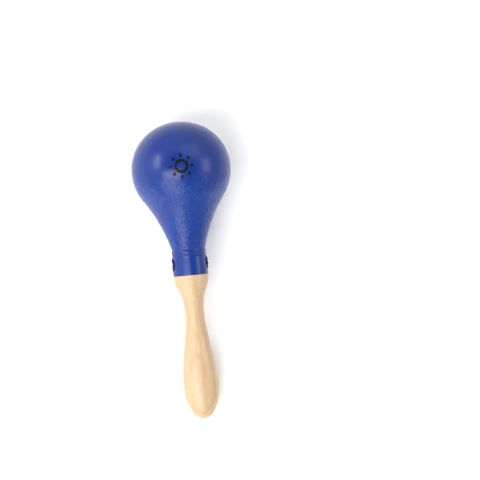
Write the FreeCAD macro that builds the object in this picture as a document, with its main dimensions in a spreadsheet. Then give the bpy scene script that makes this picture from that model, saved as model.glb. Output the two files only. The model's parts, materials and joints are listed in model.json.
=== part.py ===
import FreeCAD, Part
import math
import os
import Sketcher

# A maraca: a hollow pear-shaped plastic head on a turned wooden handle, held by two screws with
# saddle washers, with loose round shot in the head.
#
# Every piece is drawn in the maraca's own frame: X runs along the long axis from the butt of the
# handle (0) to the crown of the head, and Z is up. The finished maraca then lies on its side, on
# the bulb and on the swell of the handle, with the head end a little raised.

DIMENSIONS = {
    # Handle, millimetres; a station is a place along the long axis.
    "butt_nose_radius": 10.3,
    "swell_station": 28.0,
    "swell_radius": 15.3,
    "swell_arc": 133.0,
    "waist_station": 91.5,
    "waist_length": 3.0,
    "waist_radius": 8.4,
    "waist_lower_arc": 90.0,
    "waist_upper_arc": 42.5,
    "shoulder_arc": 27.0,
    "shoulder_radius": 15.1,
    "shoulder_round": 0.3,
    "tenon_radius": 12.6,
    "tenon_length": 22.0,
    "tenon_chamfer": 1.2,
    # Head: collar, rib, bead, neck, bulb and crown.
    "mouth_station": 124.5,
    "mouth_round": 0.3,
    "collar_end_station": 141.3,
    "collar_end_radius": 14.7,
    "rib_end_station": 142.9,
    "rib_end_radius": 14.6,
    "rib_arc": 1.1,
    "bead_start_station": 143.4,
    "bead_end_station": 146.6,
    "bead_arc": 3.8,
    "neck_station": 147.3,
    "neck_radius": 14.5,
    "neck_arc": 136.0,
    "bulb_station": 216.4,
    "bulb_radius": 43.0,
    "crown_side_arc": 40.5,
    "crown_station": 257.6,
    "wall": 2.0,
    "socket_radius": 12.7,
    "throat_station": 148.4,
    # Screws and washers.
    "screw_station": 134.3,
    "screw_seat": 15.2,
    "screw_head_radius": 4.1,
    "screw_head_edge": 0.5,
    "screw_head_height": 2.7,
    "screw_shank_radius": 1.75,
    "screw_length": 9.6,
    "thread_start": 2.5,
    "thread_depth": 0.45,
    "thread_pitch": 1.25,
    "recess_width": 0.9,
    "recess_span": 4.2,
    "recess_depth": 1.1,
    "clearance_hole_radius": 2.1,
    "pilot_hole_radius": 1.8,
    "pilot_bottom": 5.2,
    "washer_radius": 5.6,
    "washer_gap": 0.03,
    # Shot: round pellets in layers, each layer a little clear of what is round it.
    "shot_radius": 3.0,
    "shot_clearance": 0.3,
}

SHOT_ROWS = [5, 6, 7, 6, 5]  # pellets across the chamber, row by row from the neck to the crown
HEAP_RING = 6
TOSSED = 3
THREAD_RIDGES = 5
NEAR = 0.01  # two places closer than this are the same, mm

doc = FreeCAD.newDocument("Maraca")
sheet = doc.addObject("Spreadsheet::Sheet", "Dimensions")
for row, (alias, value) in enumerate(DIMENSIONS.items(), start=1):
    sheet.set(f"A{row}", alias)
    sheet.set(f"B{row}", str(value))
    sheet.setAlias(f"B{row}", alias)
doc.recompute()


def size(alias):
    return float(sheet.get(alias))


def bind(target, path, formula):
    """Ties a property or a sketch constraint to the sheet; bare names in the formula are its cells."""
    words = formula.split(" ")
    bound = [f"Dimensions.{word}" if word in DIMENSIONS else word for word in words]
    target.setExpression(path, " ".join(bound))


def new_body(label):
    body = doc.addObject("PartDesign::Body", label)
    body.Label = label
    return body


def origin_plane(body, role):
    return [feature for feature in body.Origin.OriginFeatures if feature.Role == role][0]


class Outline:
    """A sketch on one origin plane of a body, drawn as a chain of lines and arcs."""

    def __init__(self, body, name, role="XZ_Plane"):
        self.sketch = body.newObject("Sketcher::SketchObject", name)
        self.sketch.AttachmentSupport = (origin_plane(body, role), "")
        self.sketch.MapMode = "FlatFace"

    def line(self, start, end):
        first = FreeCAD.Vector(start[0], start[1], 0)
        last = FreeCAD.Vector(end[0], end[1], 0)
        return self.sketch.addGeometry(Part.LineSegment(first, last), False)

    def arc(self, centre, radius, low_deg, high_deg):
        circle = Part.Circle(FreeCAD.Vector(centre[0], centre[1], 0), FreeCAD.Vector(0, 0, 1), radius)
        ends = (math.radians(low_deg), math.radians(high_deg))
        return self.sketch.addGeometry(Part.ArcOfCircle(circle, *ends), False)

    def circle(self, centre, radius):
        circle = Part.Circle(FreeCAD.Vector(centre[0], centre[1], 0), FreeCAD.Vector(0, 0, 1), radius)
        return self.sketch.addGeometry(circle, False)

    def add(self, *rule):
        return self.sketch.addConstraint(Sketcher.Constraint(*rule))

    def measure(self, rule, formula):
        """A dimension: rule is the constraint without its value, which the formula gives."""
        index = self.add(*rule, measured(formula))
        name = f"{self.sketch.Name}_{index}"
        self.sketch.renameConstraint(index, name)
        bind(self.sketch, f"Constraints.{name}", formula)

    def station(self, geometry, point, formula):
        self.measure(("DistanceX", -1, 1, geometry, point), formula)

    def height(self, geometry, point, formula):
        self.measure(("DistanceY", -1, 1, geometry, point), formula)


def measured(formula):
    """The value of a formula made of cell names, numbers and + - * signs, read left to right."""
    words = formula.split(" ")
    total = word_value(words[0])
    for sign, word in zip(words[1::2], words[2::2]):
        value = word_value(word)
        if sign == "+":
            total += value
        elif sign == "-":
            total -= value
        else:
            total *= value
    return total


def word_value(word):
    return size(word) if word in DIMENSIONS else float(word)


START, END, CENTRE = 1, 2, 3  # the points of a line or an arc, as the sketcher numbers them
H_AXIS, V_AXIS = -1, -2


def slope_between(lower, lower_radius, upper, upper_radius):
    """The slope, in degrees, of the line that leaves a convex arc and runs into a hollow arc above it."""
    across = abs(upper[0] - lower[0])
    up = upper[1] - lower[1]
    share = (lower_radius + upper_radius) / math.hypot(across, up)
    return math.degrees(math.atan2(across, up) - math.acos(share))


def on_circle(centre, radius, angle_deg):
    angle = math.radians(angle_deg)
    return centre[0] + radius * math.cos(angle), centre[1] + radius * math.sin(angle)


def revolve(body, outline, name, kind="PartDesign::Revolution"):
    feature = body.newObject(kind, name)
    feature.Profile = outline.sketch
    feature.ReferenceAxis = (outline.sketch, ["H_Axis"])
    feature.Angle = 360
    doc.recompute()
    return feature


def check_cut(feature, before):
    """Stops if a groove, pocket or pattern took nothing away, as one that points outwards does."""
    if feature.Shape.Volume >= before.Shape.Volume:
        raise RuntimeError(f"{feature.Name} cuts nothing")


def edges_at(shape, station, radius):
    """Names of the round edges about the X axis at one station and radius."""
    names = []
    for index, edge in enumerate(shape.Edges, start=1):
        box = edge.BoundBox
        thin = box.XLength < NEAR and abs(box.XMin - station) < NEAR
        if thin and abs(box.ZMax - radius) < NEAR and abs(box.ZMin + radius) < NEAR:
            names.append(f"Edge{index}")
    return names


def butt_side_arc():
    """Centre and radius of the butt's side arc, which passes through the swell and touches the nose."""
    nose = size("butt_nose_radius")
    along = size("swell_station") - nose
    swell = size("swell_radius")
    radius = (along**2 + swell**2 - nose**2) / (2 * (swell - nose))
    return (size("swell_station"), swell - radius), radius


def make_handle():
    body = new_body("handle")
    outline = Outline(body, "handle_profile")
    nose_centre = (size("butt_nose_radius"), 0.0)
    side_centre, side_radius = butt_side_arc()
    joint_deg = math.degrees(math.atan2(nose_centre[1] - side_centre[1], nose_centre[0] - side_centre[0]))
    swell_centre = (size("swell_station"), size("swell_radius") - size("swell_arc"))
    lower_centre = (size("waist_station"), size("waist_radius") + size("waist_lower_arc"))
    upper_centre = (
        size("waist_station") + size("waist_length"),
        size("waist_radius") + size("waist_upper_arc"),
    )
    shoulder_centre = (size("mouth_station"), size("shoulder_radius") - size("shoulder_arc"))
    fall = slope_between(swell_centre, size("swell_arc"), lower_centre, size("waist_lower_arc"))
    rise = slope_between(shoulder_centre, size("shoulder_arc"), upper_centre, size("waist_upper_arc"))
    tenon_end = size("mouth_station") + size("tenon_length")
    tenon = size("tenon_radius")

    nose = outline.arc(nose_centre, size("butt_nose_radius"), joint_deg, 180)
    side = outline.arc(side_centre, side_radius, 90, joint_deg)
    swell = outline.arc(swell_centre, size("swell_arc"), 90 - fall, 90)
    taper = outline.line(
        on_circle(swell_centre, size("swell_arc"), 90 - fall),
        on_circle(lower_centre, size("waist_lower_arc"), 270 - fall),
    )
    lower = outline.arc(lower_centre, size("waist_lower_arc"), 270 - fall, 270)
    waist = outline.line(
        (size("waist_station"), size("waist_radius")),
        (size("waist_station") + size("waist_length"), size("waist_radius")),
    )
    upper = outline.arc(upper_centre, size("waist_upper_arc"), 270, 270 + rise)
    flare = outline.line(
        on_circle(upper_centre, size("waist_upper_arc"), 270 + rise),
        on_circle(shoulder_centre, size("shoulder_arc"), 90 + rise),
    )
    shoulder = outline.arc(shoulder_centre, size("shoulder_arc"), 90, 90 + rise)
    seat = outline.line((size("mouth_station"), size("shoulder_radius")), (size("mouth_station"), tenon))
    side_of_tenon = outline.line((size("mouth_station"), tenon), (tenon_end, tenon))
    face = outline.line((tenon_end, tenon), (tenon_end, 0))
    axis = outline.line((tenon_end, 0), (0, 0))

    # The chain, end to end: smooth where one curve runs into the next.
    outline.add("Coincident", axis, END, H_AXIS, START)
    outline.add("Horizontal", axis)
    outline.add("Coincident", nose, END, axis, END)
    outline.add("PointOnObject", nose, CENTRE, H_AXIS)
    outline.add("Tangent", side, END, nose, START)
    outline.add("Tangent", swell, END, side, START)
    outline.add("Tangent", taper, START, swell, START)
    outline.add("Tangent", lower, START, taper, END)
    outline.add("Tangent", waist, START, lower, END)
    outline.add("Tangent", upper, START, waist, END)
    outline.add("Tangent", flare, START, upper, END)
    outline.add("Tangent", shoulder, END, flare, END)
    outline.add("Coincident", seat, START, shoulder, START)
    outline.add("Coincident", side_of_tenon, START, seat, END)
    outline.add("Coincident", face, START, side_of_tenon, END)
    outline.add("Coincident", axis, START, face, END)
    outline.add("Horizontal", waist)
    outline.add("Vertical", seat)
    outline.add("Horizontal", side_of_tenon)
    outline.add("Vertical", face)
    outline.add("Vertical", shoulder, START, shoulder, CENTRE)
    outline.add("Vertical", side, START, side, CENTRE)
    outline.measure(("Radius", nose), "butt_nose_radius")
    outline.measure(("Radius", swell), "swell_arc")
    outline.measure(("Radius", lower), "waist_lower_arc")
    outline.measure(("Radius", upper), "waist_upper_arc")
    outline.measure(("Radius", shoulder), "shoulder_arc")
    outline.station(swell, END, "swell_station")
    outline.height(swell, END, "swell_radius")
    outline.station(waist, START, "waist_station")
    outline.height(waist, START, "waist_radius")
    outline.measure(("DistanceX", waist, START, waist, END), "waist_length")
    outline.station(shoulder, START, "mouth_station")
    outline.height(shoulder, START, "shoulder_radius")
    outline.height(side_of_tenon, START, "tenon_radius")
    outline.measure(("DistanceX", side_of_tenon, START, side_of_tenon, END), "tenon_length")
    turned = revolve(body, outline, "turned_wood")

    shoulder_edge = body.newObject("PartDesign::Fillet", "shoulder_edge")
    shoulder_edge.Base = (turned, edges_at(turned.Shape, size("mouth_station"), size("shoulder_radius")))
    bind(shoulder_edge, "Radius", "shoulder_round")
    doc.recompute()
    tenon_edge = body.newObject("PartDesign::Chamfer", "tenon_edge")
    tenon_edge.Base = (shoulder_edge, edges_at(shoulder_edge.Shape, tenon_end, tenon))
    bind(tenon_edge, "Size", "tenon_chamfer")
    doc.recompute()

    # A blind pilot hole for each screw, drilled across the tenon from either side.
    drill = Outline(body, "pilot_circle")
    hole = drill.circle((size("screw_station"), 0), size("pilot_hole_radius"))
    drill.add("PointOnObject", hole, CENTRE, H_AXIS)
    drill.station(hole, CENTRE, "screw_station")
    drill.measure(("Radius", hole), "pilot_hole_radius")
    bind(drill.sketch, "AttachmentOffset.Base.z", "pilot_bottom")
    pilot = body.newObject("PartDesign::Pocket", "pilot_hole")
    pilot.Profile = drill.sketch
    pilot.Type = "ThroughAll"
    pilot.Reversed = True
    doc.recompute()
    other_side = body.newObject("PartDesign::Mirrored", "pilot_hole_pair")
    other_side.Originals = [pilot]
    other_side.MirrorPlane = (origin_plane(body, "XZ_Plane"), [""])
    body.Tip = other_side
    doc.recompute()
    check_cut(pilot, tenon_edge)
    check_cut(other_side, pilot)
    return body


def neck_centre(bulb_radius, neck_arc, start):
    """Centre of the hollow neck arc, which starts at a point and touches the bulb from outside."""
    bulb = size("bulb_station")
    across = bulb - start[0]
    apart = math.hypot(across, start[1])
    reach = bulb_radius + neck_arc
    angle = math.acos((apart**2 + neck_arc**2 - reach**2) / (2 * apart * neck_arc))
    towards = math.atan2(-start[1], across)
    return on_circle(start, neck_arc, math.degrees(towards + angle))


def crown_cap_arc(inward):
    """Radius of the arc that closes the crown on the axis and runs smoothly out of the side arc."""
    reach = size("crown_station") - size("bulb_station")
    side = size("crown_side_arc")
    offset = size("bulb_radius") - side
    return (reach**2 + offset**2 - side**2) / (2 * (reach - side)) - inward


def draw_pear(outline, offset, start):
    """The neck, bulb and crown, from the point where the neck starts to the crown on the axis.

    offset is "0" for the outside of the shell and "wall" for the inside.
    """
    inward = measured(offset)
    bulb_radius = size("bulb_radius") - inward
    neck_arc = size("neck_arc") + inward
    side_arc = size("crown_side_arc") - inward
    crown = size("crown_station") - inward
    bulb = (size("bulb_station"), 0.0)
    centre = neck_centre(bulb_radius, neck_arc, start)
    side_centre = (bulb[0], bulb_radius - side_arc)
    cap_arc = crown_cap_arc(inward)
    cap_centre = (crown - cap_arc, 0.0)
    start_deg = math.degrees(math.atan2(start[1] - centre[1], start[0] - centre[0])) % 360
    touch_deg = math.degrees(math.atan2(-centre[1], bulb[0] - centre[0])) % 360
    cap_deg = math.degrees(math.atan2(side_centre[1], side_centre[0] - cap_centre[0]))

    neck = outline.arc(centre, neck_arc, start_deg, touch_deg)
    swell = outline.arc(bulb, bulb_radius, 90, touch_deg - 180)
    side = outline.arc(side_centre, side_arc, cap_deg, 90)
    cap = outline.arc(cap_centre, cap_arc, 0, cap_deg)
    outline.add("Tangent", swell, END, neck, END)
    outline.add("Tangent", side, END, swell, START)
    outline.add("Tangent", cap, END, side, START)
    outline.add("PointOnObject", swell, CENTRE, H_AXIS)
    outline.add("PointOnObject", cap, CENTRE, H_AXIS)
    outline.add("PointOnObject", cap, START, H_AXIS)
    outline.add("Vertical", swell, START, swell, CENTRE)
    outline.station(swell, CENTRE, "bulb_station")
    outline.station(cap, START, f"crown_station - {offset}")
    outline.measure(("Radius", neck), f"neck_arc + {offset}")
    outline.measure(("Radius", swell), f"bulb_radius - {offset}")
    outline.measure(("Radius", side), f"crown_side_arc - {offset}")
    return neck, cap


def make_head_shell():
    body = new_body("head_shell")
    outline = Outline(body, "shell_profile")
    mouth = size("mouth_station")
    corners = [
        (mouth, size("shoulder_radius")),
        (size("collar_end_station"), size("collar_end_radius")),
        (size("rib_end_station"), size("rib_end_radius")),
        (size("bead_start_station"), size("rib_end_radius")),
        (size("bead_end_station"), size("neck_radius")),
        (size("neck_station"), size("neck_radius")),
    ]
    face = outline.line((mouth, 0), corners[0])
    collar = outline.line(corners[0], corners[1])
    rib = outline.arc(*arc_over(corners[1], corners[2], size("rib_arc")))
    band = outline.line(corners[2], corners[3])
    bead = outline.arc(*arc_over(corners[3], corners[4], size("bead_arc")))
    groove = outline.line(corners[4], corners[5])
    neck, cap = draw_pear(outline, "0", corners[5])
    axis = outline.line((size("crown_station"), 0), (mouth, 0))

    outline.add("Coincident", collar, START, face, END)
    outline.add("Coincident", rib, END, collar, END)
    outline.add("Coincident", band, START, rib, START)
    outline.add("Coincident", bead, END, band, END)
    outline.add("Coincident", groove, START, bead, START)
    outline.add("Coincident", neck, START, groove, END)
    outline.add("Coincident", axis, START, cap, START)
    outline.add("Coincident", face, START, axis, END)
    outline.add("PointOnObject", face, START, H_AXIS)
    outline.add("Vertical", face)
    outline.add("Horizontal", band)
    outline.add("Horizontal", groove)
    outline.measure(("Radius", rib), "rib_arc")
    outline.measure(("Radius", bead), "bead_arc")
    outline.station(face, END, "mouth_station")
    outline.height(face, END, "shoulder_radius")
    outline.station(collar, END, "collar_end_station")
    outline.height(collar, END, "collar_end_radius")
    outline.station(band, START, "rib_end_station")
    outline.height(band, START, "rib_end_radius")
    outline.station(band, END, "bead_start_station")
    outline.station(groove, START, "bead_end_station")
    outline.station(groove, END, "neck_station")
    outline.height(groove, END, "neck_radius")
    outside = revolve(body, outline, "shell_outside")

    hollow = Outline(body, "chamber_profile")
    throat = (size("throat_station"), size("socket_radius"))
    entry = hollow.line((mouth, 0), (mouth, size("socket_radius")))
    socket = hollow.line((mouth, size("socket_radius")), throat)
    neck, cap = draw_pear(hollow, "wall", throat)
    axis = hollow.line((size("crown_station") - size("wall"), 0), (mouth, 0))
    hollow.add("Coincident", socket, START, entry, END)
    hollow.add("Coincident", neck, START, socket, END)
    hollow.add("Coincident", axis, START, cap, START)
    hollow.add("Coincident", entry, START, axis, END)
    hollow.add("PointOnObject", entry, START, H_AXIS)
    hollow.add("Vertical", entry)
    hollow.add("Horizontal", socket)
    hollow.station(entry, END, "mouth_station")
    hollow.height(entry, END, "socket_radius")
    hollow.station(socket, END, "throat_station")
    chamber = revolve(body, hollow, "chamber", "PartDesign::Groove")

    drill = Outline(body, "screw_hole_circle")
    hole = drill.circle((size("screw_station"), 0), size("clearance_hole_radius"))
    drill.add("PointOnObject", hole, CENTRE, H_AXIS)
    drill.station(hole, CENTRE, "screw_station")
    drill.measure(("Radius", hole), "clearance_hole_radius")
    holes = body.newObject("PartDesign::Pocket", "screw_holes")
    holes.Profile = drill.sketch
    holes.Type = "ThroughAll"
    holes.Midplane = True
    doc.recompute()

    mouth_edge = body.newObject("PartDesign::Fillet", "mouth_edge")
    mouth_edge.Base = (holes, edges_at(holes.Shape, mouth, size("shoulder_radius")))
    bind(mouth_edge, "Radius", "mouth_round")
    doc.recompute()
    check_cut(chamber, outside)
    check_cut(holes, chamber)
    return body


def arc_over(first, last, radius):
    """The arc that bulges away from the axis between two points: centre, radius and end angles."""
    half = math.hypot(last[0] - first[0], last[1] - first[1]) / 2
    tilt = math.degrees(math.atan2(last[1] - first[1], last[0] - first[0]))
    middle = ((first[0] + last[0]) / 2, (first[1] + last[1]) / 2)
    centre = on_circle(middle, math.sqrt(radius**2 - half**2), tilt - 90)
    spread = math.degrees(math.asin(half / radius))
    return centre, radius, tilt + 90 - spread, tilt + 90 + spread


def make_screw(label):
    """A dome-headed screw along X: seat of the head at 0, dome towards +X, point towards -X.

    The thread is a row of plain ridges.
    """
    body = new_body(label)
    outline = Outline(body, f"{label}_profile")
    head = size("screw_head_radius")
    edge = size("screw_head_edge")
    height = size("screw_head_height")
    crest = size("screw_shank_radius")
    root = crest - size("thread_depth")
    pitch = size("thread_pitch")
    rise = height - edge
    dome_arc = (head**2 + rise**2) / (2 * rise)
    tip = (-size("screw_length"), 0.0)
    dome = outline.arc((height - dome_arc, 0), dome_arc, 0, math.degrees(math.asin(head / dome_arc)))
    rim = outline.line((edge, head), (0, head))
    seat = outline.line((0, head), (0, crest))
    shank_end = -size("thread_start")
    chain = [outline.line((0, crest), (shank_end, crest))]
    for turn in range(THREAD_RIDGES):
        top = shank_end - turn * pitch
        chain.append(outline.line((top, crest), (top - pitch / 2, root)))
        last = turn == THREAD_RIDGES - 1
        end = tip if last else (top - pitch, crest)
        chain.append(outline.line((top - pitch / 2, root), end))
    axis = outline.line(tip, (height, 0))

    outline.add("PointOnObject", dome, CENTRE, H_AXIS)
    outline.add("Coincident", rim, START, dome, END)
    outline.add("Coincident", seat, START, rim, END)
    outline.add("Coincident", chain[0], START, seat, END)
    for first, second in zip(chain, chain[1:]):
        outline.add("Coincident", second, START, first, END)
    outline.add("Coincident", axis, START, chain[-1], END)
    outline.add("Coincident", dome, START, axis, END)
    outline.add("Horizontal", rim)
    outline.add("Vertical", seat)
    outline.add("Horizontal", chain[0])
    outline.add("PointOnObject", axis, END, H_AXIS)
    outline.add("PointOnObject", axis, START, H_AXIS)
    outline.add("PointOnObject", seat, START, V_AXIS)
    outline.station(rim, START, "screw_head_edge")
    outline.height(rim, START, "screw_head_radius")
    outline.station(axis, END, "screw_head_height")
    outline.station(axis, START, "screw_length * -1")
    outline.height(chain[0], END, "screw_shank_radius")
    outline.station(chain[0], END, "thread_start * -1")
    for turn in range(THREAD_RIDGES):
        down = chain[1 + 2 * turn]
        outline.station(down, END, f"thread_pitch * -{turn + 0.5} - thread_start")
        outline.height(down, END, "screw_shank_radius - thread_depth")
        if turn < THREAD_RIDGES - 1:
            up = chain[2 + 2 * turn]
            outline.station(up, END, f"thread_pitch * -{turn + 1} - thread_start")
            outline.height(up, END, "screw_shank_radius")
    turned = revolve(body, outline, f"{label}_turned")

    # The cross recess: one slot down into the dome, repeated a quarter turn on.
    slot = Outline(body, f"{label}_slot", "YZ_Plane")
    half_span = size("recess_span") / 2
    half_width = size("recess_width") / 2
    corners = [
        (-half_span, -half_width),
        (half_span, -half_width),
        (half_span, half_width),
        (-half_span, half_width),
    ]
    sides = [slot.line(a, b) for a, b in zip(corners, corners[1:] + corners[:1])]
    for first, second in zip(sides, sides[1:] + sides[:1]):
        slot.add("Coincident", second, START, first, END)
    for side, rule in zip(sides, ("Horizontal", "Vertical", "Horizontal", "Vertical")):
        slot.add(rule, side)
    slot.add("Symmetric", sides[0], START, sides[2], START, H_AXIS, START)
    slot.measure(("DistanceX", sides[0], START, sides[0], END), "recess_span")
    slot.measure(("DistanceY", sides[1], START, sides[1], END), "recess_width")
    bind(slot.sketch, "AttachmentOffset.Base.z", "screw_head_height - recess_depth")
    recess = body.newObject("PartDesign::Pocket", f"{label}_recess")
    recess.Profile = slot.sketch
    recess.Type = "ThroughAll"
    recess.Reversed = True
    doc.recompute()
    cross = body.newObject("PartDesign::PolarPattern", f"{label}_cross")
    cross.Originals = [recess]
    cross.Axis = (slot.sketch, ["N_Axis"])
    cross.Angle = 90
    cross.Occurrences = 2
    body.Tip = cross
    doc.recompute()
    check_cut(recess, turned)
    check_cut(cross, recess)
    return body


def make_washer(label):
    """A saddle washer on the +Y side: flat under the screw head, hollowed to sit on the round collar."""
    plug = cylinder_along_y(f"{label}_plug", "washer_radius", "screw_seat")
    bore = cylinder_along_y(f"{label}_bore", "clearance_hole_radius", "screw_seat")
    collar = doc.addObject("Part::Cone", f"{label}_collar")
    bind(collar, "Radius1", "shoulder_radius + washer_gap")
    bind(collar, "Radius2", "collar_end_radius + washer_gap")
    bind(collar, "Height", "collar_end_station - mouth_station")
    bind(collar, "Placement.Base.x", "mouth_station")
    collar.Placement.Rotation = FreeCAD.Rotation(FreeCAD.Vector(0, 1, 0), 90)
    saddle = doc.addObject("Part::Cut", f"{label}_saddle")
    saddle.Base = plug
    saddle.Tool = collar
    washer = doc.addObject("Part::Cut", label)
    washer.Base = saddle
    washer.Tool = bore
    washer.Label = label
    return washer


def cylinder_along_y(name, radius, height):
    rod = doc.addObject("Part::Cylinder", name)
    bind(rod, "Radius", radius)
    bind(rod, "Height", height)
    bind(rod, "Placement.Base.x", "screw_station")
    rod.Placement.Rotation = FreeCAD.Rotation(FreeCAD.Vector(1, 0, 0), -90)
    return rod


def pellets(label, places):
    """One node of loose shot: a group of separate balls at the places given from the bulb's centre."""
    balls = []
    for index, place in enumerate(places):
        ball = doc.addObject("Part::Sphere", f"{label}_{index}")
        bind(ball, "Radius", "shot_radius")
        ball.Placement.Base = FreeCAD.Vector(size("bulb_station"), 0, 0) + place
        balls.append(ball)
    group = doc.addObject("Part::Compound", label)
    group.Links = balls
    group.Label = label
    return group


def make_shot(tilt_deg):
    """The pool of shot at the lowest place of the lying bulb.

    The first layer lies on the wall, in rows that run across the chamber. The heap lies on it, and
    the last pellets lie on the heap.
    """
    pitch = 2 * size("shot_radius") + size("shot_clearance")
    first = size("bulb_radius") - size("wall") - size("shot_radius") - size("shot_clearance")
    second = first - pitch
    third = second - pitch
    row_step = step_deg(first, pitch)
    groups = []
    for index, count in enumerate(SHOT_ROWS):
        lean = (index - (len(SHOT_ROWS) - 1) / 2) * row_step - tilt_deg
        row_radius = first * math.cos(math.radians(lean))
        along = first * math.sin(math.radians(lean))
        turn = step_deg(row_radius, pitch)
        places = []
        for ball in range(count):
            angle = math.radians((ball - (count - 1) / 2) * turn)
            across = row_radius * math.sin(angle)
            places.append(FreeCAD.Vector(along, across, -row_radius * math.cos(angle)))
        groups.append(pellets(f"shot_row_{index + 1}", places))
    heap = [(0.0, 0.0)] + [(step_deg(second, pitch), 360 * n / HEAP_RING) for n in range(HEAP_RING)]
    groups.append(pellets("shot_heap", [under_bulb(second, *aim, tilt_deg) for aim in heap]))
    spread = math.degrees(math.asin(pitch / math.sqrt(3) / third))
    tossed = [(spread, 360 * n / TOSSED) for n in range(TOSSED)]
    groups.append(pellets("shot_tossed", [under_bulb(third, *aim, tilt_deg) for aim in tossed]))
    return groups


def step_deg(radius, pitch):
    """The angle between neighbours one pitch apart on a circle."""
    return 2 * math.degrees(math.asin(pitch / 2 / radius))


def under_bulb(radius, lean_deg, round_deg, tilt_deg):
    """A place at one radius from the bulb's centre, leaning from straight down when the maraca lies."""
    lean = math.radians(lean_deg)
    turn = math.radians(round_deg)
    place = FreeCAD.Vector(
        radius * math.sin(lean) * math.cos(turn),
        radius * math.sin(lean) * math.sin(turn),
        -radius * math.cos(lean),
    )
    return FreeCAD.Rotation(FreeCAD.Vector(0, 1, 0), tilt_deg).multVec(place)


def lying_pose():
    """The placement of the whole maraca on its side, with the middle of its box's floor as origin.

    The floor touches the bulb and the side arc of the butt, so the tilt is that of the line that
    touches both circles from below.
    """
    side_centre, side_radius = butt_side_arc()
    across = size("bulb_station") - side_centre[0]
    up = -side_centre[1]
    lean = math.acos((side_radius - size("bulb_radius")) / math.hypot(across, up))
    tilt = lean - math.atan2(across, up)
    cap_arc = crown_cap_arc(0)
    front = (size("crown_station") - cap_arc) * math.cos(tilt) + cap_arc
    back = size("butt_nose_radius") * (math.cos(tilt) - 1)
    height = size("bulb_radius") - size("bulb_station") * math.sin(tilt)
    base = FreeCAD.Vector(-(front + back) / 2, 0, height)
    turn = FreeCAD.Rotation(FreeCAD.Vector(0, 1, 0), -math.degrees(tilt))
    return FreeCAD.Placement(base, turn), math.degrees(tilt)


def screw_pose(side_deg):
    """A screw's own X axis turned out of the collar, side_deg round from +Y."""
    outward = FreeCAD.Rotation(FreeCAD.Vector(0, 0, 1), 90)
    place = FreeCAD.Vector(size("screw_station"), size("screw_seat"), 0)
    side = FreeCAD.Placement(FreeCAD.Vector(), FreeCAD.Rotation(FreeCAD.Vector(1, 0, 0), side_deg))
    return side.multiply(FreeCAD.Placement(place, outward))


rest, tilt_deg = lying_pose()
pieces = [make_handle(), make_head_shell()]
pieces += make_shot(tilt_deg)
for piece in pieces:
    piece.Placement = rest
for name, side_deg in (("left", 0), ("right", 180)):
    screw = make_screw(f"screw_{name}")
    screw.Placement = rest.multiply(screw_pose(side_deg))
    washer = make_washer(f"washer_{name}")
    about_axis = FreeCAD.Rotation(FreeCAD.Vector(1, 0, 0), side_deg)
    washer.Placement = rest.multiply(FreeCAD.Placement(FreeCAD.Vector(), about_axis))
    pieces += [screw, washer]
doc.recompute()

for item in doc.Objects:
    if "Invalid" in item.State or "Error" in item.State:
        raise RuntimeError(f"{item.Name} did not build: {item.State}")
for piece in pieces:
    if piece.Shape.isNull() or not piece.Shape.isValid():
        raise RuntimeError(f"{piece.Label} has no valid shape")

os.makedirs("parts", exist_ok=True)
for piece in pieces:
    piece.Shape.exportStep(f"parts/{piece.Label}.step")
centre = rest.multVec(FreeCAD.Vector(size("bulb_station"), 0, 0))
print(f"tilt {tilt_deg:.4f} degrees, bulb centre {centre.x:.4f}, {centre.z:.4f}, butt {rest.Base.x:.4f}")
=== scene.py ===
import json
import math

import bmesh
import bpy
from mathutils import Matrix, Vector, noise


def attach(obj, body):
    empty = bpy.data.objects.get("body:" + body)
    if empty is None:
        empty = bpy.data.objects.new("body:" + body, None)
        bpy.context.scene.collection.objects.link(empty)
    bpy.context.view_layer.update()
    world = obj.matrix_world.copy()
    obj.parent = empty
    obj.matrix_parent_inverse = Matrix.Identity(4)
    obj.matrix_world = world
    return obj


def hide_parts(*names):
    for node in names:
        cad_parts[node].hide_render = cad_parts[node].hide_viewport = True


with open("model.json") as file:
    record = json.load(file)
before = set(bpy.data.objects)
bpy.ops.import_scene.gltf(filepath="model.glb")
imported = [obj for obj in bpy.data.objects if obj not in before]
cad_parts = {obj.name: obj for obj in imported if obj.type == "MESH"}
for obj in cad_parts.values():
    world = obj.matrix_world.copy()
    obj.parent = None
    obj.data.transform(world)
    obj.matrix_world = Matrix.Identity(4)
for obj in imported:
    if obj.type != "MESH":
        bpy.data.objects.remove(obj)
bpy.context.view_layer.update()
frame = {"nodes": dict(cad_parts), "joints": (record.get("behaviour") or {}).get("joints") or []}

MM = 0.001
BODY = "rattle"

# ---------------------------------------------------------------------------------------------
# The maraca's own frame, in millimetres: X is the station along the long axis from the butt,
# Y is across it, and Z is up out of the side that it lies on.
# ---------------------------------------------------------------------------------------------

swirl = [joint for joint in frame["joints"] if joint["name"] == "swirl_1"][0]
AXIS = Vector(swirl["axis"]).normalized()
BULB = Vector(swirl["pos_m"])
ACROSS = Vector((0, 1, 0))
ABOVE = AXIS.cross(ACROSS)
# The camera looks from straight above but for a small turn towards +Y. The mark and the wood's
# growth layers are turned that way too.
FACING_DEG = -7.0
FACING = Matrix.Rotation(math.radians(FACING_DEG), 3, AXIS) @ ABOVE


def span(node):
    """Lowest and highest place of a CAD node along the long axis, in mm from the bulb's centre."""
    places = [(v.co - BULB).dot(AXIS) / MM for v in frame["nodes"][node].data.vertices]
    return min(places), max(places)


def reach(node):
    """The furthest that a CAD node goes from the long axis, in mm."""
    return max((v.co - BULB).cross(AXIS).length / MM for v in frame["nodes"][node].data.vertices)


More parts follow.
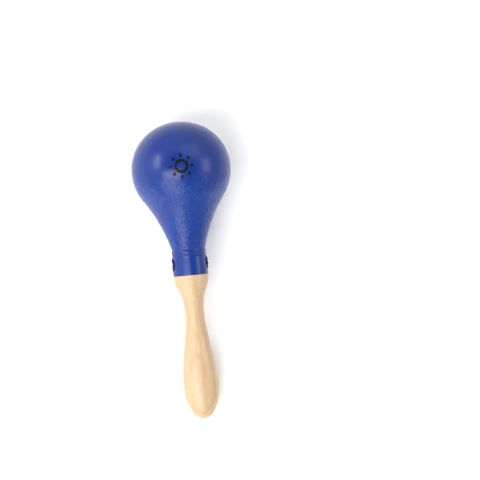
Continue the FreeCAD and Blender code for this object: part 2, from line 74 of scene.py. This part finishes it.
BULB_STATION = -span("handle")[0]
BUTT = BULB - AXIS * BULB_STATION * MM
LOCAL = (
    Matrix.Translation(BUTT)
    @ Matrix((AXIS, ACROSS, ABOVE)).transposed().to_4x4()
    @ Matrix.Scale(MM, 4)
)
MOUTH = BULB_STATION + span("head_shell")[0]
CROWN = BULB_STATION + span("head_shell")[1]
SCREW_STATION = BULB_STATION + sum(span("screw_left")) / 2
BULB_RADIUS = reach("head_shell")

# Driving sizes of the head that the CAD nodes don't give by their extent, in mm.
MOUTH_RADIUS = 15.1
MOUTH_ROUND = 0.3
COLLAR_END, COLLAR_END_RADIUS = 141.3, 14.7
RIB_END, RIB_END_RADIUS, RIB_ARC = 142.9, 14.6, 1.1
BEAD_START, BEAD_END, BEAD_ARC = 143.4, 146.6, 3.8
NECK_STATION, NECK_RADIUS, NECK_ARC = 147.3, 14.5, 136.0
CROWN_SIDE_ARC = 40.5
WALL, SOCKET_RADIUS, THROAT = 2.0, 12.7, 148.4
SCREW_HOLE_RADIUS = 2.1

# The moulded grain in the head's mesh: it rises from the neck and fades out towards GRAIN_END.
GRAIN_RISE, GRAIN_FADE, GRAIN_END = 3.0, 14.0, 214.0
GRAIN_DEPTH, FINE_GRAIN_SHARE = 0.035, 0.5
COARSE_GRAIN, FINE_GRAIN = 0.5, 1.1  # features per mm

# Mesh steps of the head, in mm, and its steps round the axis.
HEAD_TURNS = 360
INSIDE_STEP, OUTSIDE_STEP, CROWN_STEP = 3, 0.65, 1.5
MOUTH_STEP, MOUTH_ROUND_STEP, COLLAR_STEP = 0.8, 0.12, 1.5
RIB_STEP, GROOVE_STEP, BEAD_STEP = 0.15, 0.2, 0.3
DRILL_TURNS, DRILL_REACH = 48, 20

# ---------------------------------------------------------------------------------------------
# Outlines: lists of (station, radius)
# ---------------------------------------------------------------------------------------------


def on_circle(centre, radius, angle_deg):
    """The point of a circle at an angle from the long axis."""
    angle = math.radians(angle_deg)
    return centre[0] + radius * math.cos(angle), centre[1] + radius * math.sin(angle)


def arc(centre, radius, first_deg, last_deg, step):
    """Points along an arc, about step apart."""
    spread = last_deg - first_deg
    count = max(3, math.ceil(abs(math.radians(spread)) * radius / step))
    return [on_circle(centre, radius, first_deg + spread * i / count) for i in range(count + 1)]


def line(first, last, step):
    """Points along a straight line, about step apart."""
    count = max(1, math.ceil(math.dist(first, last) / step))
    return [
        tuple(a + (b - a) * i / count for a, b in zip(first, last))
        for i in range(count + 1)
    ]


def join(*parts):
    """One outline from several that meet end to end."""
    outline = list(parts[0])
    for part in parts[1:]:
        outline += part[1:] if math.dist(outline[-1], part[0]) < 1e-4 else part
    return outline


def direction_deg(start, end):
    """The angle from the long axis of the line from one point to another."""
    return math.degrees(math.atan2(end[1] - start[1], end[0] - start[0]))


def pear(inward, start, step, crown_step):
    """The neck, bulb and crown, from a point at the neck to the axis.

    Every arc is this far inward from the head's outside. The bulb is a circle below its widest
    place, and above it a side arc and a flatter cap.
    """
    bulb = (BULB_STATION, 0)
    bulb_arc = BULB_RADIUS - inward
    neck_arc = NECK_ARC + inward
    side_arc = CROWN_SIDE_ARC - inward
    apart = math.dist(start, bulb)
    share = (apart**2 + neck_arc**2 - (bulb_arc + neck_arc) ** 2) / (2 * apart * neck_arc)
    neck = on_circle(start, neck_arc, direction_deg(start, bulb) + math.degrees(math.acos(share)))
    side = (BULB_STATION, bulb_arc - side_arc)
    crown = CROWN - inward
    gap = crown - BULB_STATION
    cap_arc = (gap**2 + side[1] ** 2 - side_arc**2) / (2 * (gap - side_arc))
    cap = (crown - cap_arc, 0)
    touch = direction_deg(bulb, neck)
    meet = direction_deg(cap, side)
    return join(
        arc(neck, neck_arc, direction_deg(neck, start), touch - 180, step),
        arc(bulb, bulb_arc, touch, 90, step),
        arc(side, side_arc, 90, meet, crown_step),
        arc(cap, cap_arc, meet, 0, crown_step),
    )


def arc_over(first, last, radius, step):
    """The arc that bulges away from the axis between two points, as points about step apart."""
    half = math.dist(first, last) / 2
    tilt = direction_deg(first, last)
    middle = ((first[0] + last[0]) / 2, (first[1] + last[1]) / 2)
    centre = on_circle(middle, math.sqrt(radius**2 - half**2), tilt - 90)
    spread = math.degrees(math.asin(half / radius))
    return arc(centre, radius, tilt + 90 + spread, tilt + 90 - spread, step)


def shell_outline():
    """The shell's closed section: down its inside from the crown, round the mouth, and back up."""
    inside = join(
        line((MOUTH, SOCKET_RADIUS), (THROAT, SOCKET_RADIUS), INSIDE_STEP),
        pear(WALL, (THROAT, SOCKET_RADIUS), INSIDE_STEP, INSIDE_STEP),
    )
    collar_end = (COLLAR_END, COLLAR_END_RADIUS)
    rib_end = (RIB_END, RIB_END_RADIUS)
    bead_start = (BEAD_START, RIB_END_RADIUS)
    bead_end = (BEAD_END, NECK_RADIUS)
    neck = (NECK_STATION, NECK_RADIUS)
    corner = (MOUTH + MOUTH_ROUND, MOUTH_RADIUS - MOUTH_ROUND)
    outside = join(
        line((MOUTH, SOCKET_RADIUS), (MOUTH, corner[1]), MOUTH_STEP),
        arc(corner, MOUTH_ROUND, 180, 90, MOUTH_ROUND_STEP),
        line((corner[0], MOUTH_RADIUS), collar_end, COLLAR_STEP),
        arc_over(collar_end, rib_end, RIB_ARC, RIB_STEP),
        line(rib_end, bead_start, GROOVE_STEP),
        arc_over(bead_start, bead_end, BEAD_ARC, BEAD_STEP),
        line(bead_end, neck, BEAD_STEP),
        pear(0, neck, OUTSIDE_STEP, CROWN_STEP),
    )
    return join(inside[::-1], outside)


# ---------------------------------------------------------------------------------------------
# Meshes
# ---------------------------------------------------------------------------------------------


def add_piece(name, points, faces, smooth=True):
    """A piece of the maraca from points in its own frame, riding on the rattle's body."""
    mesh = bpy.data.meshes.new(name)
    mesh.from_pydata([LOCAL @ Vector(p) for p in points], [], faces)
    mesh.validate()
    if smooth:
        mesh.polygons.foreach_set("use_smooth", [True] * len(mesh.polygons))
    piece = bpy.data.objects.new(name, mesh)
    bpy.context.scene.collection.objects.link(piece)
    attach(piece, BODY)
    return piece


def lathe(name, outline, turns, relief):
    """A closed skin turned about the long axis; the outline starts and ends on the axis.

    relief gives, for a point on the skin and its radius, how far to push it out, in mm.
    """
    points = [(outline[0][0], 0, 0)]
    for station, radius in outline[1:-1]:
        for turn in range(turns):
            angle = 2 * math.pi * turn / turns
            place = Vector((station, radius * math.cos(angle), radius * math.sin(angle)))
            outward = Vector((0, math.cos(angle), math.sin(angle)))
            points.append(place + outward * relief(place, radius))
    points.append((outline[-1][0], 0, 0))
    last = len(points) - 1
    rings = len(outline) - 2
    faces = []
    for turn in range(turns):
        after = (turn + 1) % turns
        faces.append((0, 1 + turn, 1 + after))
        for ring in range(rings - 1):
            row = 1 + ring * turns
            faces.append((row + turn, row + turns + turn, row + turns + after, row + after))
        row = 1 + (rings - 1) * turns
        faces.append((row + after, row + turn, last))
    return add_piece(name, points, faces)


def recalculate(piece):
    """Turns every face of a closed piece outwards."""
    form = bmesh.new()
    form.from_mesh(piece.data)
    bmesh.ops.recalc_face_normals(form, faces=form.faces)
    form.to_mesh(piece.data)
    form.free()


def grain(place, radius):
    """How far the moulded grain pushes out a point of the skin, in mm."""
    if radius < NECK_RADIUS or not NECK_STATION < place.x < GRAIN_END:
        return 0
    rise = min(1, (place.x - NECK_STATION) / GRAIN_RISE)
    fall = min(1, (GRAIN_END - place.x) / GRAIN_FADE)
    coarse = GRAIN_DEPTH * noise.noise(place * COARSE_GRAIN)
    fine = GRAIN_DEPTH * FINE_GRAIN_SHARE * noise.noise(place * FINE_GRAIN)
    return rise * fall**2 * (3 - 2 * fall) * (coarse + fine)


def drill(piece, station, radius):
    """Cuts one round hole right across a piece, along Y, at a station on the long axis."""
    points, faces = [], []
    for turn in range(DRILL_TURNS):
        angle = 2 * math.pi * turn / DRILL_TURNS
        along, above = radius * math.cos(angle), radius * math.sin(angle)
        for side in (-DRILL_REACH, DRILL_REACH):
            points.append(LOCAL @ Vector((station + along, side, above)))
        near, after = 2 * turn, 2 * ((turn + 1) % DRILL_TURNS)
        faces.append((near, near + 1, after + 1, after))
    faces.append([2 * turn for turn in range(DRILL_TURNS)])
    faces.append([2 * turn + 1 for turn in reversed(range(DRILL_TURNS))])
    mesh = bpy.data.meshes.new("drill")
    mesh.from_pydata(points, [], faces)
    rod = bpy.data.objects.new("drill", mesh)
    bpy.context.scene.collection.objects.link(rod)
    recalculate(rod)
    cut = piece.modifiers.new("screw_holes", "BOOLEAN")
    cut.operation = "DIFFERENCE"
    cut.solver = "EXACT"
    cut.object = rod
    evaluated = piece.evaluated_get(bpy.context.evaluated_depsgraph_get())
    drilled = bpy.data.meshes.new_from_object(evaluated)
    piece.modifiers.remove(cut)
    piece.data = drilled
    bpy.data.objects.remove(rod)


def make_head():
    """The head's shell with its moulded grain, socket and screw holes."""
    head = lathe("head_shell_skin", shell_outline(), HEAD_TURNS, grain)
    recalculate(head)
    drill(head, SCREW_STATION, SCREW_HOLE_RADIUS)
    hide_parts("head_shell")
    return head


# ---------------------------------------------------------------------------------------------
# Materials: noise mostly stays between 0.3 and 0.7, so the ramps stretch that or pick a part of it
# ---------------------------------------------------------------------------------------------


class Finish:
    """A node material: short calls add nodes and join them."""

    def __init__(self, name, **uniform):
        self.material = bpy.data.materials.new(name)
        self.material.use_nodes = True
        self.tree = self.material.node_tree
        self.shader = self.tree.nodes["Principled BSDF"]
        for key, value in uniform.items():
            self.shader.inputs[key.replace("_", " ")].default_value = value
        place = self.add("ShaderNodeTexCoord")
        turn = self.add("ShaderNodeMapping", vector_type="TEXTURE")
        location, rotation, scale = LOCAL.decompose()
        turn.inputs["Location"].default_value = location
        turn.inputs["Rotation"].default_value = rotation.to_euler()
        turn.inputs["Scale"].default_value = scale
        self.tree.links.new(place.outputs["Object"], turn.inputs["Vector"])
        self.local = turn.outputs["Vector"]  # the maraca's own frame, in millimetres
        split = self.add("ShaderNodeSeparateXYZ", {"Vector": self.local})
        self.station = split.outputs["X"]

    def add(self, kind, inputs=None, **settings):
        """Adds a node with these properties, and sets or joins these inputs."""
        node = self.tree.nodes.new(kind)
        for key, value in settings.items():
            setattr(node, key, value)
        for key, value in (inputs or {}).items():
            self.set(node.inputs[key], value)
        return node

    def set(self, socket, value):
        """Joins a node's output to a socket, or gives the socket a plain value."""
        if isinstance(value, bpy.types.NodeSocket):
            self.tree.links.new(value, socket)
        else:
            socket.default_value = value

    def math(self, operation, first, second=0.0):
        return self.add("ShaderNodeMath", {0: first, 1: second}, operation=operation).outputs[0]

    def noise(self, scale, stretch=(1, 1, 1), detail=3.0, roughness=0.5):
        """Noise whose scale is in features per mm."""
        spread = self.add("ShaderNodeMapping", {"Vector": self.local, "Scale": stretch})
        node = self.add(
            "ShaderNodeTexNoise",
            {
                "Vector": spread.outputs[0],
                "Scale": scale,
                "Detail": detail,
                "Roughness": roughness,
            },
        )
        return node.outputs["Fac"]

    def pebbles(self, scale):
        """Rounded cells, whose scale is in cells per mm."""
        inputs = {"Vector": self.local, "Scale": scale}
        return self.add("ShaderNodeTexVoronoi", inputs, feature="SMOOTH_F1").outputs["Distance"]

    def ramp(self, value, low, high, first=0.0, last=1.0, smooth=True):
        """value from low to high becomes first to last, held past both ends."""
        node = self.add(
            "ShaderNodeMapRange",
            {"Value": value, "From Min": low, "From Max": high, "To Min": first, "To Max": last},
            interpolation_type="SMOOTHSTEP" if smooth else "LINEAR",
        )
        return node.outputs["Result"]

    def mix(self, share, first, second):
        """Colours, by share from 0 to 1."""
        node = self.tree.nodes.new("ShaderNodeMix")
        node.data_type = "RGBA"
        self.set(node.inputs["Factor"], share)
        for name, value in (("A", first), ("B", second)):
            socket = [i for i in node.inputs if i.name == name and i.type == "RGBA"][0]
            self.set(socket, value)
        return [o for o in node.outputs if o.type == "RGBA"][0]

    def bump(self, height, depth_mm, normal=None):
        """A normal from a height of 0 to 1, over another normal if one is given."""
        node = self.add("ShaderNodeBump", {"Height": height, "Distance": depth_mm * MM})
        if normal:
            self.tree.links.new(normal, node.inputs["Normal"])
        return node.outputs["Normal"]

    def drive(self, name, value):
        """Joins a value to the shader."""
        self.tree.links.new(value, self.shader.inputs[name])


def linear(red, green, blue):
    """A colour given as 0 to 255 on screen, as the shader takes it."""
    parts = []
    for level in (red, green, blue):
        share = level / 255
        parts.append(share / 12.92 if share <= 0.04045 else ((share + 0.055) / 1.055) ** 2.4)
    return (*parts, 1.0)


PLASTIC_DEEP, PLASTIC_LIGHT = linear(16, 45, 117), linear(19, 49, 122)
# Painted shade for the grain's pits and painted glints for its peaks, both mixed into the base
# colour.
PLASTIC_PIT_SHADE, PLASTIC_PEAK_GLINT = linear(9, 36, 100), linear(34, 68, 148)
# The stations between which the surface turns grained above the neck, and smooth again on the bulb.
GRAINED_FROM, GRAINED_TO = (BEAD_END, NECK_STATION + 1), (200.0, 211.0)


def blue_plastic():
    """Smooth on the upper bulb and the collar, with a fine pebbled grain between them."""
    finish = Finish("blue_moulded_plastic", Specular_IOR_Level=0.3)
    wander = finish.noise(0.12, detail=2)
    edge = finish.math("ADD", finish.station, finish.ramp(wander, 0.3, 0.7, -2.5, 2.5))
    below = finish.ramp(edge, *GRAINED_TO, 1.0, 0.0)
    above = finish.ramp(finish.station, *GRAINED_FROM)
    grained = finish.math("MULTIPLY", below, above)
    pebbles = finish.pebbles(0.42)
    fine = finish.noise(0.68, detail=3, roughness=0.6)
    relief = finish.math("ADD", pebbles, fine)
    relief = finish.math("MULTIPLY", relief, grained)
    normal = finish.bump(finish.noise(0.05, detail=1), 0.15)
    normal = finish.bump(relief, 0.25, normal)
    finish.drive("Normal", normal)
    blotch = finish.noise(0.045, detail=3)
    base = finish.mix(finish.ramp(blotch, 0.3, 0.7), PLASTIC_DEEP, PLASTIC_LIGHT)
    # Painted shade: the grain's low places are darkened in the base colour.
    pit_shade = finish.math("MULTIPLY", grained, finish.ramp(fine, 0.3, 0.5, 0.8, 0.0))
    base = finish.mix(pit_shade, base, PLASTIC_PIT_SHADE)
    # Painted glints: the grain's high places are lightened in the base colour.
    peak_glints = finish.math("MULTIPLY", grained, finish.ramp(fine, 0.48, 0.66, 0.0, 1.0))
    base = finish.mix(peak_glints, base, PLASTIC_PEAK_GLINT)
    finish.drive("Base Color", base)
    smooth_rough = finish.ramp(finish.noise(0.15, detail=1), 0.3, 0.7, 0.24, 0.27)
    shine = finish.math("MULTIPLY", grained, finish.ramp(fine, 0.35, 0.65, 0.07, -0.04))
    finish.drive("Roughness", finish.math("ADD", smooth_rough, shine))
    return finish.material


WOOD_PALE, WOOD_WARM, WOOD_TAN = linear(187, 166, 131), linear(184, 156, 119), linear(188, 152, 118)
WOOD_LAYER_RIM, WOOD_THIN_LAYER = linear(181, 132, 94), linear(184, 140, 104)
WOOD_FIBRE, WOOD_PORE = linear(185, 142, 105), linear(156, 108, 76)
# Growth layers: how far their stack is turned towards +Y, how much it sinks per mm along the
# handle, how far below the axis it starts, and how thick its broad and thin layers are, in mm.
LAYER_TURN_DEG, LAYER_SINK, LAYER_START, LAYER_STEP, THIN_LAYER_STEP = 13.0, 0.022, 15.2, 12.1, 2.3


def lacquered_wood():
    """Pale hardwood with long fibres.

    Its growth layers are nearly level sheets. The broad pale one shows as a streak from the
    shoulder through the waist that widens to an oval on the grip, with pinker wood all round it.
    """
    finish = Finish("lacquered_pale_wood", Coat_Weight=0.2, Coat_Roughness=0.22)
    turn = math.radians(LAYER_TURN_DEG)
    sheet = {0: finish.local, 1: (0, math.sin(turn), math.cos(turn))}
    towards = finish.add("ShaderNodeVectorMath", sheet, operation="DOT_PRODUCT")
    wander = finish.ramp(finish.noise(0.03, (0.3, 1, 1), detail=2), 0.25, 0.75, -0.9, 0.9, False)
    height = finish.math("ADD", towards.outputs["Value"], wander)
    height = finish.math("ADD", height, finish.math("MULTIPLY", finish.station, LAYER_SINK))
    stack = finish.math("ADD", height, LAYER_START)
    layer = finish.math("FRACT", finish.math("DIVIDE", stack, LAYER_STEP))
    pale = finish.ramp(layer, 0.0, 0.16)
    rim_fall = finish.ramp(layer, 0.99, 1.0, 1.0, 0.6)
    rim = finish.math("MULTIPLY", finish.ramp(layer, 0.9, 0.99), rim_fall)
    thin = finish.math("FRACT", finish.math("DIVIDE", height, THIN_LAYER_STEP))
    fibre = finish.noise(0.8, (0.04, 1, 1), detail=4, roughness=0.62)
    broad = finish.noise(0.16, (0.12, 1, 1), detail=3)
    base = finish.mix(finish.ramp(broad, 0.35, 0.65), WOOD_PALE, WOOD_WARM)
    base = finish.mix(finish.math("SUBTRACT", 1.0, pale), base, WOOD_TAN)
    base = finish.mix(finish.math("MULTIPLY", rim, 0.7), base, WOOD_LAYER_RIM)
    base = finish.mix(finish.ramp(thin, 0.6, 1.0, 0.0, 0.3), base, WOOD_THIN_LAYER)
    base = finish.mix(finish.ramp(fibre, 0.42, 0.72, 0.0, 0.6), base, WOOD_FIBRE)
    pores = finish.noise(2.2, (0.07, 1, 1), detail=2, roughness=0.4)
    base = finish.mix(finish.ramp(pores, 0.6, 0.72, 0.0, 0.4), base, WOOD_PORE)
    finish.drive("Base Color", base)
    finish.drive("Roughness", finish.ramp(fibre, 0.3, 0.7, 0.36, 0.5))
    normal = finish.bump(fibre, 0.02)
    normal = finish.bump(pores, 0.015, normal)
    finish.drive("Normal", normal)
    return finish.material


def black_rubber():
    """Matt and slightly dusty."""
    finish = Finish("black_rubber", Specular_IOR_Level=0.3)
    speck = finish.noise(3.0, detail=4)
    colour = finish.mix(finish.ramp(speck, 0.35, 0.7), linear(7, 7, 10), linear(18, 18, 22))
    finish.drive("Base Color", colour)
    finish.drive("Roughness", finish.ramp(speck, 0.3, 0.7, 0.45, 0.62))
    finish.drive("Normal", finish.bump(speck, 0.03))
    return finish.material


def nickel_plate():
    """Bright plating with faint rubbed patches."""
    finish = Finish("nickel_plate", Metallic=1.0)
    speck = finish.noise(1.5, detail=4)
    dull, bright = linear(206, 202, 190), linear(226, 223, 214)
    finish.drive("Base Color", finish.mix(finish.ramp(speck, 0.3, 0.7), dull, bright))
    finish.drive("Roughness", finish.ramp(finish.noise(4.0, detail=3), 0.3, 0.7, 0.14, 0.3))
    finish.drive("Normal", finish.bump(finish.noise(2.5, detail=3), 0.01))
    return finish.material


def shot_plastic():
    """Cream pellets, a little cloudy."""
    finish = Finish("shot_plastic")
    cloud = finish.noise(0.35, detail=3)
    cream, shade = linear(232, 228, 214), linear(212, 205, 186)
    finish.drive("Base Color", finish.mix(finish.ramp(cloud, 0.3, 0.7), cream, shade))
    finish.drive("Roughness", finish.ramp(finish.noise(1.2, detail=3), 0.3, 0.7, 0.28, 0.42))
    finish.drive("Normal", finish.bump(finish.noise(0.8, detail=2), 0.02))
    return finish.material


def black_ink():
    """Pad-printed ink, thinner in places."""
    finish = Finish("black_ink", Specular_IOR_Level=0.2)
    speck = finish.noise(1.8, detail=4)
    colour = finish.mix(finish.ramp(speck, 0.4, 0.75), linear(3, 4, 8), linear(9, 11, 20))
    finish.drive("Base Color", colour)
    finish.drive("Roughness", finish.ramp(speck, 0.3, 0.7, 0.4, 0.55))
    finish.drive("Normal", finish.bump(speck, 0.01))
    return finish.material


def wear(piece, material):
    """Gives a new piece its one material."""
    piece.data.materials.clear()
    piece.data.materials.append(material)


def wear_node(node, material):
    """A better material on a CAD node that stays."""
    for slot in frame["nodes"][node].material_slots:
        slot.material = material


# ---------------------------------------------------------------------------------------------
# The printed mark: a plain ring with short rays, laid on the upper side of the bulb
# ---------------------------------------------------------------------------------------------

MARK_STATION = 217.8  # its middle, mm
MARK_TURN_DEG = 5.0  # round the axis from straight above, towards +Y
MARK_RING = (3.6, 6.2)  # inner and outer radius, mm
MARK_RAYS = 8
MARK_RAY = (7.7, 10.6)  # where a ray starts and ends, mm from the mark's middle
MARK_RAY_WIDTH = 2.4  # mm
MARK_RING_STEPS, MARK_RAY_STEPS = (3, 72), (3, 6)  # mesh steps across and along a stroke
INK_DEPTH = 0.04  # how far the ink goes above the bulb's skin, and below it, mm


def bulb_radius_at(station):
    """The radius of the bulb's outside at a station near its widest place."""
    along = station - BULB_STATION
    if along < 0:
        return math.sqrt(BULB_RADIUS**2 - along**2)
    return BULB_RADIUS - CROWN_SIDE_ARC + math.sqrt(CROWN_SIDE_ARC**2 - along**2)


def on_bulb(along, across, lift):
    """A point on the upper side of the bulb, from a flat pattern's own along and across."""
    station = MARK_STATION + along
    angle = across / BULB_RADIUS + math.radians(MARK_TURN_DEG)
    out = bulb_radius_at(station) + lift
    return station, out * math.sin(angle), out * math.cos(angle)


def make_mark():
    """Ring and rays, each a thin closed strip: a grid on the bulb, from just under its skin."""
    points, faces = [], []

    def strip(place, steps, closed):
        """Adds a stroke; place gives a flat pattern's point from shares along and across it."""
        across_steps, along_steps = steps
        rows = along_steps if closed else along_steps + 1
        width = across_steps + 1
        first = len(points)
        under = first + rows * width
        for level in (INK_DEPTH, -INK_DEPTH):
            for i in range(rows):
                for j in range(width):
                    points.append(on_bulb(*place(i / along_steps, j / across_steps), level))
        for i in range(along_steps):
            near = i * width
            far = (i + 1) % rows * width
            for j in range(across_steps):
                top = (near + j, far + j, far + j + 1, near + j + 1)
                faces.append([first + corner for corner in top])
                faces.append([under + corner for corner in top[::-1]])
            for j in (0, across_steps):
                side = (first + near + j, under + near + j, under + far + j, first + far + j)
                faces.append(side if j == 0 else side[::-1])
        if not closed:
            for near in (first, first + along_steps * width):
                below = near - first + under
                for j in range(across_steps):
                    end = (near + j, near + j + 1, below + j + 1, below + j)
                    faces.append(end if near == first else end[::-1])

    def ring(turn, share):
        radius = MARK_RING[0] + (MARK_RING[1] - MARK_RING[0]) * share
        return radius * math.cos(2 * math.pi * turn), radius * math.sin(2 * math.pi * turn)

    strip(ring, MARK_RING_STEPS, True)
    for ray in range(MARK_RAYS):
        angle = 2 * math.pi * ray / MARK_RAYS

        def stroke(share, side, angle=angle):
            out = MARK_RAY[0] + (MARK_RAY[1] - MARK_RAY[0]) * share
            off = (side - 0.5) * MARK_RAY_WIDTH
            cos, sin = math.cos(angle), math.sin(angle)
            return out * cos - off * sin, out * sin + off * cos

        strip(stroke, MARK_RAY_STEPS, False)
    mark = add_piece("printed_mark", points, faces, smooth=False)
    recalculate(mark)
    return mark


# ---------------------------------------------------------------------------------------------
# Camera, lights and floor
# ---------------------------------------------------------------------------------------------

VIEW_LEAN_DEG = 5.33  # the long axis leans this much to the left in the picture
VIEW_WIDTH = 414.9  # how much the picture takes in at the maraca's depth, mm
VIEW_STATION = 161.1  # the picture's middle is measured from this station on the axis:
VIEW_RIGHT, VIEW_UP = 45.9, -6.13  # this far right and up of it in the picture, mm
VIEW_DISTANCE = 2.2  # m
SENSOR = 36.0  # mm


def view_frame():
    """The directions right, up and back towards the camera, and the point looked at."""
    beside = AXIS.cross(FACING)
    lean = math.radians(VIEW_LEAN_DEG)
    right = beside * math.cos(lean) - AXIS * math.sin(lean)
    up = beside * math.sin(lean) + AXIS * math.cos(lean)
    middle = LOCAL @ Vector((VIEW_STATION, 0, 0)) + (right * VIEW_RIGHT + up * VIEW_UP) * MM
    return right, up, FACING, middle


def make_camera():
    """At the photograph's viewing angle, far off so that there is little perspective."""
    right, up, back, middle = view_frame()
    data = bpy.data.cameras.new("camera")
    data.sensor_width = SENSOR
    data.lens = SENSOR * VIEW_DISTANCE / (VIEW_WIDTH * MM)
    camera = bpy.data.objects.new("camera", data)
    camera.matrix_world = Matrix.Translation(middle + back * VIEW_DISTANCE) @ (
        Matrix((right, up, back)).transposed().to_4x4()
    )
    bpy.context.scene.collection.objects.link(camera)
    bpy.context.scene.camera = camera


# Soft rectangular lights. Each has its name; its place from the bulb, right of the axis, along it
# and above it on the camera's side, and how many m one unit of that is; its size across and along,
# in m; its radiance; and whether it faces straight down instead of towards the bulb.
LIGHTS = [
    ("key", (-0.62, -1.50, 1.0), 0.8, (0.88, 1.60), 4.5, True),
    ("strip", (-0.43, -0.225, 1.0), 0.8, (0.72, 0.26), 8.6, True),
    ("side", (-0.86, 0.18, 0.42), 2.0, (1.1, 1.7), 0.9, False),
    ("left", (-0.76, 0.33, 0.53), 1.95, (0.5, 0.86), 6.2, False),
    ("high", (0.42, 0.64, 0.66), 2.0, (1.7, 1.3), 1.0, False),
    ("right", (0.87, 0.04, 0.49), 1.95, (0.6, 0.96), 3.7, False),
]


def add_light(name, towards, away, size, radiance, level):
    """One of LIGHTS, which only the maraca and the floor see."""
    basis = Matrix((AXIS.cross(FACING), AXIS, FACING)).transposed()
    data = bpy.data.lights.new(name, "AREA")
    data.shape = "RECTANGLE"
    data.size, data.size_y = size
    data.energy = radiance * math.pi * size[0] * size[1]
    light = bpy.data.objects.new(name, data)
    place = basis @ Vector(towards) * away
    back = FACING if level else place.normalized()
    across = AXIS.cross(back).normalized()
    turn = Matrix((across, back.cross(across), back)).transposed().to_4x4()
    light.matrix_world = Matrix.Translation(BULB + place) @ turn
    light.visible_camera = False
    bpy.context.scene.collection.objects.link(light)


# The studio's own light: its level on the handle's side and on the head's side, and the share of
# it that is left overhead, past a fade between two cosines of the angle from straight above.
BRIGHT_SIDE = AXIS * 0.99 + AXIS.cross(FACING) * 0.1
FAR_LEVEL, BRIGHT_LEVEL = 0.45, 1.2
FADE_START, FADE_END, OVERHEAD_SHARE = 0.62, 0.88, 0.04


def make_world():
    """Pale round the horizon, most of all on the head's side, and dark overhead."""
    world = bpy.data.worlds.new("studio")
    world.use_nodes = True
    nodes, links = world.node_tree.nodes, world.node_tree.links
    place = nodes.new("ShaderNodeTexCoord")

    def by_direction(towards, low, high, first, last, blend):
        """From first to last, as a direction's cosine with towards goes from low to high."""
        share = nodes.new("ShaderNodeVectorMath")
        share.operation = "DOT_PRODUCT"
        share.inputs[1].default_value = towards
        level = nodes.new("ShaderNodeMapRange")
        level.interpolation_type = blend
        limits = {"From Min": low, "From Max": high, "To Min": first, "To Max": last}
        for name, value in limits.items():
            level.inputs[name].default_value = value
        links.new(place.outputs["Generated"], share.inputs[0])
        links.new(share.outputs["Value"], level.inputs["Value"])
        return level.outputs["Result"]

    strength = nodes.new("ShaderNodeMath")
    strength.operation = "MULTIPLY"
    horizon = by_direction(BRIGHT_SIDE, -1, 1, FAR_LEVEL, BRIGHT_LEVEL, "LINEAR")
    ceiling = by_direction(FACING, FADE_START, FADE_END, 1, OVERHEAD_SHARE, "SMOOTHSTEP")
    links.new(horizon, strength.inputs[0])
    links.new(ceiling, strength.inputs[1])
    links.new(strength.outputs["Value"], nodes["Background"].inputs["Strength"])
    nodes["Background"].inputs["Color"].default_value = (1, 1, 1, 1)
    bpy.context.scene.world = world


FLOOR_HALF = 2.2  # m
FLOOR_PAINT = {"Base Color": (0.95, 0.95, 0.95, 1.0), "Roughness": 0.9, "Specular IOR Level": 0.1}


def make_floor():
    """A plain pale square that the maraca lies in the middle of."""
    mesh = bpy.data.meshes.new("floor")
    corners = [(x * FLOOR_HALF, y * FLOOR_HALF, 0) for x, y in ((-1, -1), (1, -1), (1, 1), (-1, 1))]
    mesh.from_pydata(corners, [], [(0, 1, 2, 3)])
    floor = bpy.data.objects.new("floor", mesh)
    bpy.context.scene.collection.objects.link(floor)
    material = bpy.data.materials.new("floor_paint")
    material.use_nodes = True
    shader = material.node_tree.nodes["Principled BSDF"]
    for name, value in FLOOR_PAINT.items():
        shader.inputs[name].default_value = value
    mesh.materials.append(material)


bpy.context.scene.view_settings.view_transform = "Standard"

wear(make_head(), blue_plastic())
wear_node("handle", lacquered_wood())
wear(make_mark(), black_ink())
rubber, nickel, pellets = black_rubber(), nickel_plate(), shot_plastic()
for side in ("left", "right"):
    wear_node(f"washer_{side}", rubber)
    wear_node(f"screw_{side}", nickel)
for node in frame["nodes"]:
    if node.startswith("shot_"):
        wear_node(node, pellets)
make_camera()
for row in LIGHTS:
    add_light(*row)
make_world()
make_floor()
